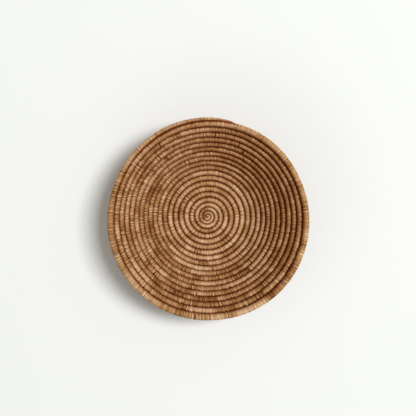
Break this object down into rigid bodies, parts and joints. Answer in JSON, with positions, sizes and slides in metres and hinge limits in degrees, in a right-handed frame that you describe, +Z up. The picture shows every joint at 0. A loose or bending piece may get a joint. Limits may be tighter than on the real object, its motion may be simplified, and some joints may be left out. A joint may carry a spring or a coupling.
{
  "type": "woven wall plate",
  "caption": "Shallow round wall plate of coiled plant stems wrapped in raffia, flat in the middle with a sloping wall, and a sewn hanging loop behind.",
  "frame": {"origin": "on the wall's plane behind the middle of the plate, where the coil's axis meets the wall", "axes": "+Z up as hung, +Y into the wall, the plate faces -Y"},
  "size_m": [0.3, 0.0794, 0.3032],
  "materials": {
    "wrapping_raffia": "dry raffia strips with a satin sheen, tan with paler and redder strips",
    "plant_stems": "dry matt plant stems",
    "twisted_raffia": "two-strand twisted raffia, pale tan",
    "stitch_raffia": "flat raffia strip with a satin sheen"
  },
  "bodies": {
    "plate": {"raffia_wrap": "wrapping_raffia", "stem_bundle": "plant_stems", "loop_stitch_left": "stitch_raffia", "loop_stitch_right": "stitch_raffia"},
    "loop": {"hanging_loop": "twisted_raffia"}
  },
  "joints": [
    {"name": "loop_swing", "type": "hinge", "parent": "plate", "child": "loop", "pos_m": [0, -0.0427, 0.11946], "axis": [1, 0, 0], "range_deg": [-61, 57]}
  ]
}
